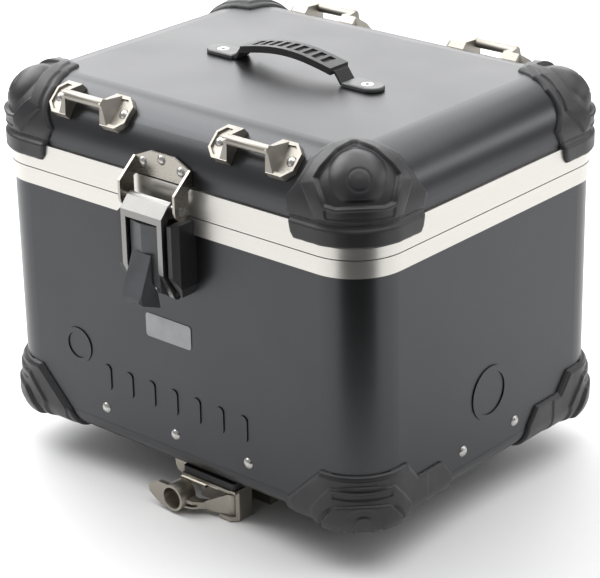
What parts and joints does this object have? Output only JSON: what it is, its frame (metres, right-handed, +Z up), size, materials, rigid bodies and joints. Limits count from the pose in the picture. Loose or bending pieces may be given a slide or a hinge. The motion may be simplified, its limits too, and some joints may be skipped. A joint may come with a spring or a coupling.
{
  "type": "motorcycle top case",
  "caption": "Lockable metal motorcycle top case with hinged lid, toggle latch, corner guards, lashing eyes, carry handle and a quick-release rack clamp.",
  "frame": {"origin": "middle of the bounding box in plan, at the underside of the rack clamp and hooks that the case stands on", "axes": "+X to the right seen from the latch side, -Y out through the latch side, +Y out through the hinge side, +Z up"},
  "size_m": [0.428, 0.3831, 0.367],
  "materials": {
    "powder_coat": "satin fine-textured powder coat",
    "lid_powder_coat": "satin fine-textured powder coat",
    "rim_aluminium": "satin anodised",
    "guard_plastic": "fine moulded grain",
    "latch_plastic": "fine moulded grain",
    "lever_plastic": "fine moulded grain",
    "cast_steel": "bead-blasted cast stainless",
    "sheet_steel": "satin stainless sheet",
    "bright_steel": "bright turned stainless",
    "bail_aluminium": "satin die casting",
    "trap_steel": "bead-blasted cast stainless",
    "seal_rubber": "matt",
    "grip_rubber": "matt moulded",
    "webbing": "woven polyester webbing",
    "cap_metal": "satin",
    "pad_rubber": "matt",
    "badge": "printed foil"
  },
  "bodies": {
    "case": {"wall_shell": "powder_coat", "base_pan": "powder_coat", "base_rivets": "bright_steel", "base_rim": "rim_aluminium", "base_guard_front_right": "guard_plastic", "base_guard_front_left": "guard_plastic", "base_guard_rear_right": "guard_plastic", "base_guard_rear_left": "guard_plastic", "base_guard_screws": "bright_steel", "latch_housing": "latch_plastic", "lever_pin": "bright_steel", "latch_backing_plate": "sheet_steel", "latch_screws": "bright_steel", "body_hinge_leaf": "sheet_steel", "body_hinge_rivets": "bright_steel", "hinge_pin": "bright_steel", "trap_pad": "pad_rubber", "trap_base": "trap_steel", "trap_pivot_pin": "bright_steel", "floor_doubler": "sheet_steel", "trap_bolts": "bright_steel", "rack_hook_left": "trap_steel", "rack_hook_right": "trap_steel", "rack_hook_bolts": "bright_steel", "front_badge": "badge"},
    "lid": {"lid_shell": "lid_powder_coat", "lid_rim": "rim_aluminium", "lid_seal": "seal_rubber", "lid_guard_front_right": "guard_plastic", "lid_guard_front_left": "guard_plastic", "lid_guard_rear_right": "guard_plastic", "lid_guard_rear_left": "guard_plastic", "lid_guard_screws": "bright_steel", "lashing_eye_front_left": "cast_steel", "lashing_eye_front_right": "cast_steel", "lashing_eye_rear_left": "cast_steel", "lashing_eye_rear_right": "cast_steel", "lashing_eye_screws": "bright_steel", "lashing_eye_nuts": "bright_steel", "handle_cap_left": "cap_metal", "handle_cap_right": "cap_metal", "handle_grip": "grip_rubber", "handle_strap": "webbing", "handle_screws": "bright_steel", "handle_backing_plates": "sheet_steel", "handle_nuts": "bright_steel", "latch_bracket": "sheet_steel", "latch_bracket_rivets": "bright_steel", "latch_bracket_pin": "bright_steel", "lid_hinge_leaf": "sheet_steel", "lid_hinge_rivets": "bright_steel"},
    "latch_lever": {"lever_panel": "lever_plastic", "lock_hood": "lever_plastic", "bail_pin": "bright_steel"},
    "bail": {"bail": "bail_aluminium"},
    "lock_barrel": {"lock_barrel": "bright_steel"},
    "trap_lever": {"trap_lever": "trap_steel"},
    "trap_jaw": {"trap_jaw": "trap_steel"}
  },
  "joints": [
    {"name": "lid_hinge", "type": "hinge", "parent": "case", "child": "lid", "pos_m": [0, 0.1865, 0.271], "axis": [-1, 0, 0], "range_deg": [0, 100]},
    {"name": "latch_turn", "type": "hinge", "parent": "case", "child": "latch_lever", "pos_m": [0, -0.163, 0.26], "axis": [-1, 0, 0], "range_deg": [0, 100]},
    {"name": "bail_turn", "type": "hinge", "parent": "latch_lever", "child": "bail", "pos_m": [0, -0.16, 0.206], "axis": [-1, 0, 0], "range_deg": [-125, 0]},
    {"name": "lock_turn", "type": "hinge", "parent": "latch_lever", "child": "lock_barrel", "pos_m": [0, -0.179, 0.1972], "axis": [0, -0.3709, -0.9287], "range_deg": [0, 90]},
    {"name": "trap_swing", "type": "hinge", "parent": "case", "child": "trap_lever", "pos_m": [0.05, -0.133, 0.016], "axis": [0, 0, 1], "range_deg": [0, 75]},
    {"name": "trap_jaw_slide", "type": "slide", "parent": "case", "child": "trap_jaw", "axis": [0, -1, 0], "range_m": [0, 0.0085]}
  ],
  "couplings": [
    {"joint": "bail_turn", "follows": "latch_turn", "ratio": -1.25},
    {"joint": "trap_jaw_slide", "follows": "trap_swing", "m_per_rad": 0.0064}
  ]
}
